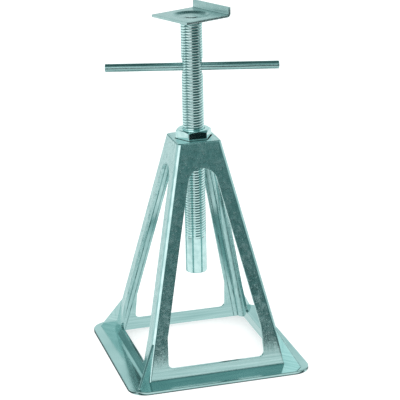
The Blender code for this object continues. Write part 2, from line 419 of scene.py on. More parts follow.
@dataclass
class CastBase(Piece):
    """The casting: pyramid shell with four windows, flange, corner fins, nut pocket and bore."""

    body: str = "base"
    node: str = "base_casting"
    slot: Slot = Slot.CAST
    flange_corner: float = 17.0 * MM
    flange_thick: float = 3.0 * MM
    half: float = 69.1 * MM
    taper: float = 0.225
    edge: float = 4.0 * MM
    bead: float = 4.5 * MM
    bead_hollow: float = 0.12
    top_edge: float = 1.2 * MM
    rim: float = 0.6 * MM
    rim_facets: int = 3
    rim_angle: float = 60.0
    edge_facets: int = 8
    corner_facets: int = 14
    foot_height: float = 40.0 * MM
    foot_ease: float = 0.03
    foot_steps: int = 6
    wall: float = 3.1 * MM
    ceiling: float = 198.0 * MM
    window_low: float = 12.6 * MM
    window_kink: float = 40.8 * MM
    window_half: float = 46.3 * MM
    window_corner: float = 5.0 * MM
    window_facets: int = 6
    window_top: float = 190.7 * MM
    head_stop: float = 84.0
    head_steps: int = 14
    leg: float = 14.7 * MM
    fin_thick: float = 2.5 * MM
    fin_height: float = 37.0 * MM
    fin_foot: float = 78.5 * MM
    fin_angle: float = 30.0
    pocket_floor: float = 206.0 * MM
    pocket_flats: float = 31.8 * MM
    bore: float = 11.0 * MM
    bore_facets: int = 48
    groove_insets: tuple[float, ...] = (8.0 * MM, 12.0 * MM)
    groove_width: float = 0.8 * MM
    groove_depth: float = 0.4 * MM
    groove_low: float = 15.0 * MM
    groove_high: float = 186.0 * MM
    weld: float = 0.01 * MM
    past: float = 5.0 * MM

    def half_at(self, z: float) -> float:
        """Half the width of the pyramid's outer faces at a height."""
        return self.half - self.taper * z

    def frustum(self, name: str, profile: Profile, edge: float, curve: float = 0.5) -> Obj:
        """A square frustum in steps, its slanting edges rounded or hollowed and its top edge broken.

        Args:
            name: The object's name.
            profile: Pairs of half the width and the height, from the bottom up.
            edge: How far the slanting edges are cut back.
            curve: The shape of that cut, round at 0.5 and hollow below 0.25.

        Returns:
            The solid.
        """
        (start, bottom), (first, low) = profile[0], profile[1]
        obj = block(name, (2 * start, 2 * start, low - bottom), (0.0, 0.0, (bottom + low) / 2))
        with editing(obj):
            pick(Kind.FACE, faces_up)
            stretch((first / start, first / start, 1.0), (0.0, 0.0, low))
            for (w0, z0), (w1, z1) in zip(profile[1:], profile[2:]):
                pull((0.0, 0.0, z1 - z0))
                stretch((w1 / w0, w1 / w0, 1.0), (0.0, 0.0, z1))
            round_edges(lambda e: rise(e) > MM, edge, self.edge_facets, curve)
            round_edges(lambda e: min(v.co.z for v in e.verts) > profile[-1][1] - MM,
                        self.top_edge, self.rim_facets)
        return obj

    def outline(self, top: float) -> list[Pair]:
        """The outer faces, which bend near the foot to stand a little steeper there.

        Args:
            top: The height of the casting.

        Returns:
            Pairs of half the width and the height.
        """
        bend = self.foot_height / 2
        # The ease grows over the bend and is steady below it, which adds up to one and a half bends.
        points = [(self.half_at(0.0) - 1.5 * bend * self.foot_ease, 0.0)]
        for i in range(self.foot_steps):
            drop = bend * (1 - i / self.foot_steps)
            z = self.foot_height - drop
            points.append((self.half_at(z) - drop ** 2 * self.foot_ease / (2 * bend), z))
        return [*points, *((self.half_at(z), z) for z in (self.foot_height, top))]

    def cavity(self) -> Obj:
        """The cutter of the hollow inside, which leaves a bead down the inner corner of each leg."""
        profile = [(self.half_at(z) - self.wall, z) for z in (-self.past, self.ceiling)]
        return self.frustum("cavity", profile, self.bead, self.bead_hollow)

    def flange(self, half: float) -> Obj:
        """The square flange with its corners rounded.

        Args:
            half: Half its width.

        Returns:
            The solid.
        """
        middle = self.flange_thick / 2
        obj = block("flange", (2 * half, 2 * half, self.flange_thick), (0.0, 0.0, middle))
        with editing(obj):
            round_edges(lambda e: rise(e) > middle, self.flange_corner, self.corner_facets)
            round_edges(lambda e: min(v.co.z for v in e.verts) > middle, self.rim, self.rim_facets)
        return obj

    def fin(self, corner: int) -> Obj:
        """A triangular web from a leg's edge to a corner of the flange.

        Args:
            corner: Which corner, from 0 to 3.

        Returns:
            The solid.
        """
        apex = self.half_at(self.fin_height) * math.sqrt(2) - self.edge * (math.sqrt(2) - 1)
        root = apex - self.edge
        foot = self.fin_foot * math.sqrt(2)
        sunk = self.flange_thick / 2
        obj = block("fin", (foot - root, self.fin_thick, self.fin_height - sunk),
                    ((root + foot) / 2, 0.0, (sunk + self.fin_height) / 2))
        slope = Vector((self.fin_height - self.flange_thick, 0.0, foot - apex)).normalized()
        with editing(obj):
            bpy.ops.mesh.select_all(action="SELECT")
            bpy.ops.mesh.bisect(plane_co=(apex, 0.0, self.fin_height), plane_no=slope, use_fill=True,
                                clear_outer=True)
        break_edges(obj, self.rim, self.rim_facets, self.fin_angle)
        obj.rotation_euler.z = math.radians(45 + 90 * corner)
        return settle(obj, "fin")

    def window(self, side: int) -> Obj:
        """The cutter of two facing windows: leaning sides, round lower corners and an arched head.

        Args:
            side: 0 for front and back, 1 for left and right.

        Returns:
            The solid, longer than the base is wide.
        """
        low, kink = self.window_low, self.window_kink
        obj = block("window", (2 * self.window_half, 2 * (self.half + self.past), kink - low),
                    (0.0, 0.0, (low + kink) / 2))
        lean = math.degrees(math.atan(self.taper))
        head = self.half_at(self.window_top) - self.leg
        radius = head * math.cos(math.radians(lean)) / (1 - math.sin(math.radians(lean)))
        outline = [(self.window_half, kink), (self.half_at(kink) - self.leg, kink)]
        outline += arc((0.0, self.window_top - radius), radius, lean, self.head_stop, self.head_steps)
        with editing(obj):
            round_edges(lambda e: max(v.co.z for v in e.verts) < low + MM
                        and abs(e.verts[0].co.y - e.verts[1].co.y) > self.half,
                        self.window_corner, self.window_facets)
            pick(Kind.FACE, faces_up)
            for (x0, z0), (x1, z1) in zip(outline, outline[1:]):
                if z1 > z0:
                    pull((0.0, 0.0, z1 - z0))
                stretch((x1 / x0, 1.0, 1.0), (0.0, 0.0, z1))
        obj.rotation_euler.z = math.radians(90 * side)
        return settle(obj, "window")

    def groove(self, inset: float, hand: int, turn: int) -> Obj:
        """The cutter of a fine groove that runs down the inside of a leg.

        Args:
            inset: Its distance from the leg's outer edge.
            hand: 1 for the right end of a face and -1 for the left.
            turn: Which face, from 0 to 3.

        Returns:
            The solid, half of it sunk in the wall.
        """
        low, high = self.groove_low, self.groove_high
        fall = self.taper * (high - low)
        obj = block("groove", (self.groove_width, 2 * self.groove_depth, high - low),
                    (hand * (self.half_at(low) - inset), self.wall - self.half_at(low), (low + high) / 2))
        with editing(obj):
            pick(Kind.FACE, faces_up)
            bpy.ops.transform.translate(value=(-hand * fall, fall, 0.0))
        obj.rotation_euler.z = math.radians(90 * turn)
        return settle(obj, "groove")

    def build(self) -> Obj:
        """Make the casting with soft edges.

        Returns:
            The finished mesh.
        """
        _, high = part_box(self.node)
        obj = self.frustum("cast_base", self.outline(high.z), self.edge)
        combine(obj, self.cavity(), Op.CUT)
        for side in range(2):
            combine(obj, self.window(side), Op.CUT)
        break_edges(obj, self.rim, self.rim_facets, self.rim_angle)
        skirt = self.flange(high.x)
        for corner in range(4):
            combine(skirt, self.fin(corner), Op.JOIN)
        combine(skirt, self.cavity(), Op.CUT)
        combine(obj, skirt, Op.JOIN)
        for inset, hand, turn in product(self.groove_insets, (-1, 1), range(4)):
            combine(obj, self.groove(inset, hand, turn), Op.CUT)
        tidy_mesh(obj, self.weld)
        pocket = prism("pocket", 6, hex_corner(self.pocket_flats), self.pocket_floor, high.z + self.past)
        combine(obj, pocket, Op.CUT)
        bore = prism("bore", self.bore_facets, self.bore, self.ceiling - self.past, self.pocket_floor + MM)
        combine(obj, bore, Op.CUT)
        self.shade(obj)
        modify(obj, "WEIGHTED_NORMAL", keep_sharp=True)
        return obj


CASTING = CastBase()


@dataclass
class HexNut(Piece):
    """The hexagon nut: chamfered faces, broken corners and a countersunk thread."""

    body: str = "base"
    node: str = "lift_nut"
    slot: Slot = Slot.ZINC
    sharp: float = 15.0
    flats: float = 30.0 * MM
    face: float = 28.5 * MM
    corner_break: float = 0.35 * MM
    corner_facets: int = 3
    facets: int = 96
    sink: float = 10.9 * MM
    clearance: float = 0.4 * MM

    def build(self) -> Obj:
        """Make the nut.

        Returns:
            The finished mesh.
        """
        low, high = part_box(self.node)
        corner = hex_corner(self.flats)
        obj = prism("hex_nut", 6, corner, low.z, high.z)
        with editing(obj):
            round_edges(lambda e: rise(e) > self.corner_break, self.corner_break, self.corner_facets)
        outer = corner + MM
        drop = (outer - self.face / 2) * math.tan(math.pi / 6)
        crown = turned("crown", [
            (0.0, high.z), (self.face / 2, high.z), (outer, high.z - drop),
            (outer, low.z + drop), (self.face / 2, low.z), (0.0, low.z)], self.facets)
        combine(obj, crown, Op.KEEP)
        combine(obj, THREAD.solid("tap", low.z, high.z, self.clearance), Op.CUT)
        above, below = high.z + MM, high.z - THREAD.depth
        sink = turned("sink", [
            (0.0, above), (self.sink + MM, above), (self.sink - THREAD.depth, below),
            (0.0, below)], self.facets)
        combine(obj, sink, Op.CUT)
        self.shade(obj)
        return obj


@dataclass
class ThreadedTube(Piece):
    """The lifting tube: thread, plain shank, bore, and a cross hole pressed in at both ends."""

    body: str = "screw"
    node: str = "lift_screw"
    slot: Slot = Slot.ZINC
    sharp: float = 40.0
    shank: float = 10.1 * MM
    shank_top: float = 116.5 * MM
    shank_edge: float = 0.8 * MM
    run_out: float = 4.5 * MM
    run_sunk: float = 0.3 * MM
    bore: float = 6.0 * MM
    hole: float = 4.05 * MM
    dimple: float = 9.0 * MM
    dimple_depth: float = 2.3 * MM
    past: float = 5.0 * MM

    def build(self) -> Obj:
        """Make the tube.

        Returns:
            The finished mesh.
        """
        low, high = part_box(self.node)
        root = THREAD.radius - THREAD.depth
        outer = THREAD.radius + MM
        foot, edge, radius = self.shank_top, self.shank_edge, self.shank
        obj = THREAD.solid("threaded_tube", foot, high.z)
        envelope = turned("envelope", [
            (0.0, high.z), (root, high.z), (outer, high.z - outer + root), (outer, foot), (0.0, foot)])
        combine(obj, envelope, Op.KEEP)
        # Rings close to both ends of the shank keep its long faces evenly shaded.
        shank = turned("shank", [
            (0.0, foot + self.run_out), (root - self.run_sunk, foot + self.run_out), (radius, foot),
            (radius, foot - edge / 2), (radius, low.z + 1.5 * edge), (radius, low.z + edge),
            (radius - edge / 3, low.z + edge / 3), (radius - edge, low.z), (0.0, low.z)])
        combine(obj, shank, Op.JOIN)
        bore = turned("bore", [
            (0.0, high.z + self.past), (self.bore, high.z + self.past), (self.bore, low.z + edge),
            (self.bore + 2 * edge, low.z - edge), (0.0, low.z - edge)])
        combine(obj, bore, Op.CUT)
        throat = THREAD.radius - self.dimple_depth
        mouth = THREAD.radius + self.past
        flare = self.hole + (mouth - throat) * (self.dimple - self.hole) / self.dimple_depth
        hole = turned("cross_hole", [
            (0.0, mouth), (flare, mouth), (self.hole, throat),
            (self.hole, -throat), (flare, -mouth), (0.0, -mouth)])
        hole.rotation_euler = (0.0, math.pi / 2, math.radians(BAR_TURN))
        hole.location.z = BAR_HEIGHT
        combine(obj, settle(hole, "cross_hole"), Op.CUT)
        self.shade(obj)
        return obj


@dataclass
class CrossBar(Piece):
    """The tommy bar: a drawn rod with sheared, rounded ends."""

    body: str = "screw"
    node: str = "tommy_bar"
    slot: Slot = Slot.ROD
    radius: float = 3.75 * MM
    length: float = 160.0 * MM
    end_round: float = 0.9 * MM
    end_steps: int = 5
    dome: float = 0.25 * MM
    facets: int = 48

    def build(self) -> Obj:
        """Make the bar.

        Returns:
            The finished mesh.
        """
        half = self.length / 2
        lip = half - self.dome
        bend = self.end_round
        corner = arc((self.radius - bend, lip - bend), bend, 90.0, 0.0, self.end_steps)
        end = [
            (0.0, half), (self.radius / 2, half - self.dome / 4), *corner, (self.radius, lip - 1.5 * bend)]
        obj = turned("cross_bar", [*end, *((r, -z) for r, z in reversed(end))], self.facets)
        obj.rotation_euler = (0.0, math.pi / 2, math.radians(BAR_TURN))
        obj.location.z = BAR_HEIGHT
        settle(obj, "cross_bar")
        self.shade(obj)
        return obj


@dataclass
class TopPlug(Piece):
    """The plug in the tube's top, bored for the rivet."""

    body: str = "screw"
    node: str = "top_plug"
    slot: Slot = Slot.ZINC
    radius: float = 5.7 * MM
    bore: float = 3.3 * MM
    edge: float = 0.4 * MM

    def build(self) -> Obj:
        """Make the plug.

        Returns:
            The finished mesh.
        """
        low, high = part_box(self.node)
        obj = turned("tube_plug", [
            (self.bore, high.z), (self.radius - self.edge, high.z), (self.radius, high.z - self.edge),
            (self.radius, low.z + self.edge), (self.radius - self.edge, low.z), (self.bore, low.z),
            (self.bore, high.z)])
        self.shade(obj)
        return obj


@dataclass
class SwivelRivet(Piece):
    """The rivet that holds the saddle: a low domed head, a shank and a spread tail."""

    body: str = "swivel"
    node: str = "swivel_rivet"
    slot: Slot = Slot.ZINC
    shank: float = 3.0 * MM
    head: float = 5.5 * MM
    head_height: float = 0.2 * MM
    head_steps: int = 8
    head_rim: float = 0.4
    lift: float = 1.8 * MM
    tail: float = 4.5 * MM
    tail_height: float = 2.0 * MM
    tail_form: Profile = ((0.8, 1.0), (1.0, 0.6), (0.8, 0.15), (0.4, 0.0), (0.0, 0.0))
    facets: int = 48

    def build(self) -> Obj:
        """Make the rivet.

        Returns:
            The finished mesh.
        """
        low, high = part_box(self.node)
        top = high.z + self.lift
        seat = top - self.head_height
        curve = (self.head ** 2 + self.head_height ** 2) / (2 * self.head_height)
        rim = math.degrees(math.asin((curve - self.head_height) / curve))
        dome = arc((0.0, top - curve), curve, 90.0, rim + self.head_rim, self.head_steps)
        tail = [(self.tail * r, low.z + self.tail_height * h) for r, h in self.tail_form]
        obj = turned("saddle_rivet", [
            *dome, (self.head, seat), (self.shank, seat), (self.shank, low.z + self.tail_height),
            *tail], self.facets)
        self.shade(obj)
        return obj


@dataclass
class SwivelSaddle(Piece):
    """The saddle: a pressed square sheet with a round dish and one turned-up lip."""

    body: str = "saddle"
    node: str = "saddle_plate"
    slot: Slot = Slot.SHEET
    sharp: float = 35.0
    side: float = 50.8 * MM
    thick: float = 2.4 * MM
    turn: float = 23.6
    top: float = 328.8 * MM
    bend: float = 0.8 * MM
    bend_steps: int = 5
    lip: float = 6.8 * MM
    rim: float = 17.2 * MM
    rim_round: float = 1.4 * MM
    rim_steps: int = 5
    rim_gap: float = 1.5 * MM
    floor: float = 14.8 * MM
    depth: float = 1.8 * MM
    hole: float = 3.6 * MM
    boss: float = 8.2 * MM
    boss_height: float = 2.8 * MM
    boss_draft: float = 1.5 * MM
    boss_gap: float = 0.2 * MM
    cells: int = 16
    edge: float = 0.35 * MM
    edge_facets: int = 2
    edge_angle: float = 50.0
    near: float = 0.1 * MM

    def dish(self) -> list[Pair]:
        """The dish's upper side from the flat down to the rivet hole.

        Returns:
            Pairs of radius and height below the flat.
        """
        slope = math.degrees(math.atan2(self.depth, self.rim - self.floor))
        reach = self.rim_round * math.tan(math.radians(slope / 2))
        upper = arc((self.rim + reach, -self.rim_round), self.rim_round, 90.0, 90.0 + slope, self.rim_steps)
        lower = arc((self.floor - reach, self.rim_round - self.depth), self.rim_round,
                    slope - 90.0, -90.0, self.rim_steps)
        return [*upper, *lower, (self.hole, -self.depth)]

    def press_dish(self, obj: Obj, inside: float) -> None:
        """Open a square sheet in edit mode and draw the opening's edge round and down into the dish.

        Args:
            obj: The sheet.
            inside: Half the width within which the opening's edges lie.
        """
        profile = self.dish()
        opening = profile[0][0] + self.rim_gap
        pick(Kind.FACE, lambda f: max(abs(c) for c in f.calc_center_median()) < opening)
        bpy.ops.mesh.delete(type="FACE")
        pick(Kind.EDGE, lambda e: e.is_boundary and max(abs(c) for v in e.verts for c in v.co) < inside)
        bpy.ops.mesh.extrude_edges_move()
        bpy.ops.transform.tosphere(value=1.0, center_override=CENTRE)
        now = next(v.co.length for v in bmesh.from_edit_mesh(obj.data).verts if v.select)
        stretch((profile[0][0] / now, profile[0][0] / now, 1.0), CENTRE)
        for (r0, z0), (r1, z1) in zip(profile, profile[1:]):
            pull_edges(z1 - z0)
            stretch((r1 / r0, r1 / r0, 1.0), CENTRE)

    def turn_lip(self, flat: float) -> None:
        """Bend the edge of the sheet in edit mode up into the lip.

        Args:
            flat: Where the bend starts.
        """
        pick(Kind.EDGE, lambda e: e.is_boundary and all(v.co.x > flat - self.near for v in e.verts))
        bpy.ops.mesh.spin(steps=self.bend_steps, angle=math.pi / 2, center=(flat, 0.0, self.bend),
                          axis=(0.0, 1.0, 0.0))
        pick(Kind.EDGE, lambda e: e.is_boundary and rise(e) < self.near and all(
            v.co.x > flat + self.bend - self.near and v.co.z > self.bend - self.near for v in e.verts))
        pull_edges(self.lip - self.bend)

    def build(self) -> Obj:
        """Make the saddle.

        Returns:
            The finished mesh.
        """
        half = self.side / 2
        flat = half - self.bend - self.thick
        bpy.ops.object.select_all(action="DESELECT")
        bpy.ops.mesh.primitive_plane_add(size=1.0, location=((flat - half) / 2, 0.0, 0.0))
        obj = bpy.context.object
        obj.scale = (flat + half, self.side, 1.0)
        settle(obj, "swivel_saddle")
        with editing(obj):
            bpy.ops.mesh.select_all(action="SELECT")
            bpy.ops.mesh.subdivide(number_cuts=self.cells - 1)
            self.press_dish(obj, flat - MM)
            self.turn_lip(flat)
        tidy_mesh(obj)
        if sum(face.normal.z * face.area for face in obj.data.polygons) < 0:
            with editing(obj):
                bpy.ops.mesh.select_all(action="SELECT")
                bpy.ops.mesh.flip_normals()
        modify(obj, "SOLIDIFY", thickness=self.thick, offset=-1.0, use_even_offset=True)
        seat = -self.depth - self.thick
        inner = self.hole + self.boss_gap
        boss = turned("boss", [
            (inner, seat + MM), (self.boss + self.boss_draft, seat + MM),
            (self.boss, seat - self.boss_height), (inner, seat - self.boss_height), (inner, seat + MM)])
        combine(obj, boss, Op.JOIN)
        break_edges(obj, self.edge, self.edge_facets, self.edge_angle)
        obj.rotation_euler.z = math.radians(self.turn)
        obj.location.z = self.top
        settle(obj, "swivel_saddle")
        self.shade(obj)
        return obj


# Finishes


def linear(code: str) -> tuple[float, float, float, float]:
    """Turn an sRGB hex colour into the linear one that shaders take.

    Args:
        code: Such as "#A0B0B0".

    Returns:
        Red, green, blue and an alpha of 1.
    """
    parts = [int(code[i:i + 2], 16) / 255 for i in (1, 3, 5)]
    red, green, blue = (c / 12.92 if c <= 0.04045 else ((c + 0.055) / 1.055) ** 2.4 for c in parts)
    return red, green, blue, 1.0


def add_node(tree: bpy.types.NodeTree, kind: str, inputs: dict[str | int, object] | Sequence[object] = (),
             out: str | int = 0, **settings: object) -> Socket:
    """Add a node, set its properties, and set or link its inputs.

    Args:
        tree: The tree to add to.
        kind: The node's type, without the leading ShaderNode.
        inputs: Values, hex colours or the outputs that feed the node, in order or by input name or number.
        out: The name or number of the output that is wanted.
        **settings: The node's own properties.

    Returns:
        That output.
    """
    made = tree.nodes.new("ShaderNode" + kind)
    for key, value in settings.items():
        setattr(made, key, value)
    for key, value in inputs.items() if isinstance(inputs, dict) else enumerate(inputs):
        if isinstance(value, Socket):
            tree.links.new(value, made.inputs[key])
        else:
            made.inputs[key].default_value = linear(value) if isinstance(value, str) else value
    return made.outputs[out]


def per_metre(size_mm: float) -> float:
    """The scale of a noise whose blobs are a size in millimetres."""
    return 1.0 / (size_mm * MM)


# A Mix node of colours has them on its inputs 6 and 7, and the mixture on its output 2.
COLOURS = {"out": 2, "data_type": "RGBA"}
# Nearly all of a noise lies in this range.
NOISE = (0.3, 0.7)
# A range of 1 to 0 turns a mask over.
OVER = (1.0, 0.0)


@dataclass(frozen=True)
class Metal(ABC):
    """A bare metal whose colour, roughness and relief come from patterns on object coordinates."""

    name: str

    @abstractmethod
    def paint(self, node: Adder, place: Socket) -> Paint:
        """Lay out the patterns.

        Args:
            node: Adds a node to the material.
            place: Object coordinates.

        Returns:
            Colour, roughness and normal.
        """

    def make(self) -> bpy.types.Material:
        """Build the material.

        Returns:
            The material.
        """
        mat = bpy.data.materials.new(self.name)
        mat.use_nodes = True
        tree = mat.node_tree
        shader = tree.nodes["Principled BSDF"]
        shader.inputs["Metallic"].default_value = 1.0
        node = partial(add_node, tree)
        patterns = self.paint(node, node("TexCoord", out="Object"))
        for socket, pattern in zip(("Base Color", "Roughness", "Normal"), patterns):
            tree.links.new(pattern, shader.inputs[socket])
        return mat


# Aluminium as it comes out of the die: bright, streaked where the metal ran up the legs and along the rails,
# smooth and glossy near the flange, and dulled higher up by a faint etch. Dark lines every few millimetres
# down the inner faces of the legs, along the grooves, are painted shade.
# Real pits are a few tenths of a millimetre wide, and they are drawn coarser so that they show.
@dataclass(frozen=True)
class CastAluminium(Metal):
    """Die-cast aluminium, with a skin that changes from the flange to the legs."""

    name: str = "die_cast_aluminium"
    light: str = "#C9E4E3"
    dark: str = "#B0D1D0"
    pit: str = "#5C8786"
    groove_shade: str = "#6B9190"
    streak_mm: float = 2.4
    run_mm: float = 60.0
    cloud_mm: float = 6.0
    fleck_mm: float = 1.7
    streak_range: Pair = (0.35, 0.65)
    cloud_range: Pair = (0.42, 0.66)
    pit_range: Pair = (0.54, 0.70)
    pit_most: float = 0.3
    etch_range: Pair = (0.62, 0.72)
    rail: float = 13.0 * MM
    rail_fade: float = 1.6
    leg_fade: float = 4.0
    skin_in: Pair = (2.6 * MM, 2.2 * MM)
    edge_in: Pair = (1.1, 0.8)
    leg_in: Pair = (13.4 * MM, 12.8 * MM)
    groove_step: float = 4.0 * MM
    groove_blur: Pair = (0.3 * MM, 0.8 * MM)
    wave: float = 0.14 * MM
    swell: float = 0.26 * MM
    prick: float = 0.09 * MM
    rough_rail: float = 0.13
    rough_low: float = 0.18
    rough_high: float = 0.33
    rough_etched: float = 0.55

    def paint(self, node: Adder, place: Socket) -> Paint:
        """Lay out the streaks, clouds, pits and painted shade lines, each on its own part of the casting.

        Args:
            node: Adds a node to the material.
            place: Object coordinates.

        Returns:
            Colour, roughness and normal.
        """
        half, edge = CASTING.half, CASTING.edge
        # Patterns
        fine, long, dot = per_metre(self.streak_mm), per_metre(self.run_mm), per_metre(self.fleck_mm)
        scales = ((fine, fine, long), (long, long, fine), (dot, dot, per_metre(2.0 * self.fleck_mm)))
        grains = (node("Mapping", {"Vector": place, "Scale": scale}) for scale in scales)
        rising, level, fleck = (
            node("TexNoise", {"Vector": grain, "Scale": 1.0, "Detail": 2.0}) for grain in grains)
        cloud = node("TexNoise", {
            "Vector": place, "Scale": per_metre(self.cloud_mm), "Detail": 6.0, "Roughness": 0.65})
        # Masks
        height = node("SeparateXYZ", [place], "Z")
        above, leg = (node("MapRange", [height, self.rail, fade * self.rail])
                      for fade in (self.rail_fade, self.leg_fade))
        sizes = node("VectorMath", [place], operation="ABSOLUTE")
        sides = [node("SeparateXYZ", [sizes], axis) for axis in "XY"]
        lean = node("Math", [height, CASTING.taper], operation="MULTIPLY")
        across, through = (
            node("Math", [node("Math", sides, operation=choice), lean], operation="ADD")
            for choice in ("MINIMUM", "MAXIMUM"))
        inside = node("MapRange", [through, *(half - depth for depth in self.skin_in), *OVER])
        outside = node("Math", [1.0, inside], operation="SUBTRACT")
        flat = node("MapRange", [across, *(half - share * edge for share in self.edge_in), *OVER])
        face = node("Math", [outside, flat], operation="MULTIPLY")
        skin = node("Math", [leg, face], operation="MULTIPLY")
        # Colour
        streak = node("Mix", {0: above, 2: level, 3: rising})
        tone = node("MapRange", [streak, *self.streak_range])
        colour = node("Mix", {0: tone, 6: self.dark, 7: self.light}, **COLOURS)
        pitted = node("MapRange", [fleck, *self.pit_range, 0.0, self.pit_most])
        pitted = node("Math", [pitted, skin], operation="MULTIPLY")
        colour = node("Mix", {0: pitted, 6: colour, 7: self.pit}, **COLOURS)
        # Painted shade: dark lines every few millimetres down the inner faces of the legs, along the grooves
        # and the bead, below the ceiling.
        inward = node("Math", [half, across], operation="SUBTRACT")
        step = node("Math", [inward, self.groove_step / 2], operation="PINGPONG")
        line = node("MapRange", [step, *self.groove_blur, *OVER])
        on_leg = node("MapRange", [across, *(half - depth for depth in self.leg_in)])
        shaded_lines = node("Math", [height, CASTING.ceiling], operation="LESS_THAN")
        for mask in (inside, on_leg, line, tone):
            shaded_lines = node("Math", [shaded_lines, mask], operation="MULTIPLY")
        colour = node("Mix", {0: shaded_lines, 6: colour, 7: self.groove_shade}, **COLOURS)
        # Roughness and relief
        dull = node("MapRange", [cloud, *self.cloud_range, self.rough_low, self.rough_high])
        worn = node("Mix", {0: node("MapRange", [fleck, *self.etch_range]), 2: dull, 3: self.rough_etched})
        rough = node("Mix", {0: skin, 2: self.rough_rail, 3: worn})
        under = {}
        for pattern, depth in ((rising, self.wave), (cloud, self.swell), (fleck, self.prick)):
            normal = node("Bump", {"Height": pattern, "Strength": skin, "Distance": depth, **under})
            under = {"Normal": normal}
        return colour, rough, normal


# Steel with a bright zinc plate from the barrel: nearly a mirror, faintly cloudy, and darker in the roots
# of the thread, more so higher up. The scuffs are drawn coarser than real ones so that they show.
@dataclass(frozen=True)
class BrightZinc(Metal):
    """Bright zinc plate on steel, plain or on a thread with darker roots."""

    name: str = "bright_zinc_plate"
    threaded: bool = False
    light: str = "#DFF8F7"
    cloud: str = "#CDEBEA"
    root_tone: str = "#608685"
    cloud_mm: float = 5.0
    cloud_range: Pair = (0.38, 0.62)
    scuff_mm: float = 0.9
    scuff_depth: float = 0.02 * MM
    scuff_strength: float = 0.15
    root: float = 9.4 * MM
    crest: float = 9.85 * MM
    root_fade_low: float = 118.0 * MM
    root_fade_high: float = 145.0 * MM
    rough_root: float = 0.26
    rough_low: float = 0.05
    rough_high: float = 0.11

    def paint(self, node: Adder, place: Socket) -> Paint:
        """Lay out the clouds and scuffs, and the darker roots where there is a thread on the Z axis.

        Args:
            node: Adds a node to the material.
            place: Object coordinates.

        Returns:
            Colour, roughness and normal.
        """
        cloud = node("TexNoise", {"Vector": place, "Scale": per_metre(self.cloud_mm), "Detail": 3.0})
        scuff = node("TexNoise", {"Vector": place, "Scale": per_metre(self.scuff_mm), "Detail": 2.0})
        tone = node("MapRange", [cloud, *self.cloud_range])
        colour = node("Mix", {0: tone, 6: self.cloud, 7: self.light}, **COLOURS)
        rough = node("MapRange", [cloud, *NOISE, self.rough_high, self.rough_low])
        if self.threaded:
            # The roots of the thread are coloured darker, fading in from low to high up the screw.
            flat = node("VectorMath", [place, (1.0, 1.0, 0.0)], operation="MULTIPLY")
            radius = node("VectorMath", [flat], "Value", operation="LENGTH")
            root = node("MapRange", [radius, self.root, self.crest, *OVER])
            height = node("SeparateXYZ", [place], "Z")
            higher_up = node("MapRange", [height, self.root_fade_low, self.root_fade_high])
            deep = node("Math", [root, higher_up], operation="MULTIPLY")
            colour = node("Mix", {0: deep, 6: colour, 7: self.root_tone}, **COLOURS)
            rough = node("Mix", {0: deep, 2: rough, 3: self.rough_root})
        normal = node("Bump", {
            "Height": scuff, "Strength": self.scuff_strength, "Distance": self.scuff_depth})
        return colour, rough, normal


# Steel rod drawn cold through a die: bright, with dark lines along it that break up its long highlight. Real
# die lines are well under a tenth of a millimetre wide, and they are drawn coarser so that they show.
@dataclass(frozen=True)
class DrawnRod(Metal):
    """Cold-drawn steel rod, streaked along its length."""

    name: str = "drawn_steel_rod"
    light: str = "#BBDAD9"
    streak: str = "#779F9E"
    streak_mm: float = 0.5
    run_mm: float = 40.0
    streak_range: Pair = (0.4, 0.65)
    streak_depth: float = 0.03 * MM
    streak_strength: float = 0.3
    rough_low: float = 0.16
    rough_high: float = 0.30

    def paint(self, node: Adder, place: Socket) -> Paint:
        """Lay out the streaks along the bar.

        Args:
            node: Adds a node to the material.
            place: Object coordinates.

        Returns:
            Colour, roughness and normal.
        """
        fine, long = per_metre(self.streak_mm), per_metre(self.run_mm)
        along = node("Mapping", {"Vector": place, "Rotation": (0.0, 0.0, math.radians(-BAR_TURN))})
        drawn = node("Mapping", {"Vector": along, "Scale": (long, fine, fine)})
        streak = node("TexNoise", {"Vector": drawn, "Scale": 1.0, "Detail": 3.0})
        tone = node("MapRange", [streak, *self.streak_range])
        colour = node("Mix", {0: tone, 6: self.light, 7: self.streak}, **COLOURS)
        rough = node("MapRange", [streak, *NOISE, self.rough_low, self.rough_high])
        normal = node("Bump", {
            "Height": streak, "Strength": self.streak_strength, "Distance": self.streak_depth})
        return colour, rough, normal


# Zinc-plated sheet steel whose plate has gone dull: an even satin grey with soft clouds, and small
# flecks where it is rubbed. The rivet has worn the same way. The flecks are drawn coarser than real
# ones so that they show.
@dataclass(frozen=True)
class DullSheet(Metal):
    """Zinc plate gone dull, on the saddle's sheet and its rivet."""

    name: str = "dull_zinc_sheet"
    light: str = "#C3DAD9"
    dark: str = "#B2CCCB"
    cloud_mm: float = 9.0
    cloud_range: Pair = (0.35, 0.65)
    fleck_mm: float = 1.4
    fleck_depth: float = 0.02 * MM
    fleck_strength: float = 0.2
    rough_low: float = 0.22
    rough_high: float = 0.34

    def paint(self, node: Adder, place: Socket) -> Paint:
        """Lay out the clouds and the rubbed flecks.

        Args:
            node: Adds a node to the material.
            place: Object coordinates.

        Returns:
            Colour, roughness and normal.
        """
        cloud = node("TexNoise", {"Vector": place, "Scale": per_metre(self.cloud_mm), "Detail": 4.0})
        fleck = node("TexNoise", {"Vector": place, "Scale": per_metre(self.fleck_mm), "Detail": 2.0})
        tone = node("MapRange", [cloud, *self.cloud_range])
        colour = node("Mix", {0: tone, 6: self.dark, 7: self.light}, **COLOURS)
        rough = node("MapRange", [fleck, *NOISE, self.rough_low, self.rough_high])
        normal = node("Bump", {
            "Height": fleck, "Strength": self.fleck_strength, "Distance": self.fleck_depth})
        return colour, rough, normal


# Studio


def towards(side: float) -> tuple[float, float, float]:
    """The level direction at so many degrees to the right of the front."""
    return math.sin(math.radians(side)), -math.cos(math.radians(side)), 0.0


@dataclass(frozen=True)
class Sector:
    """A part of the room: its middle, in degrees right of the front, and where its fade starts and ends."""

    side: float
    inner: float
    outer: float


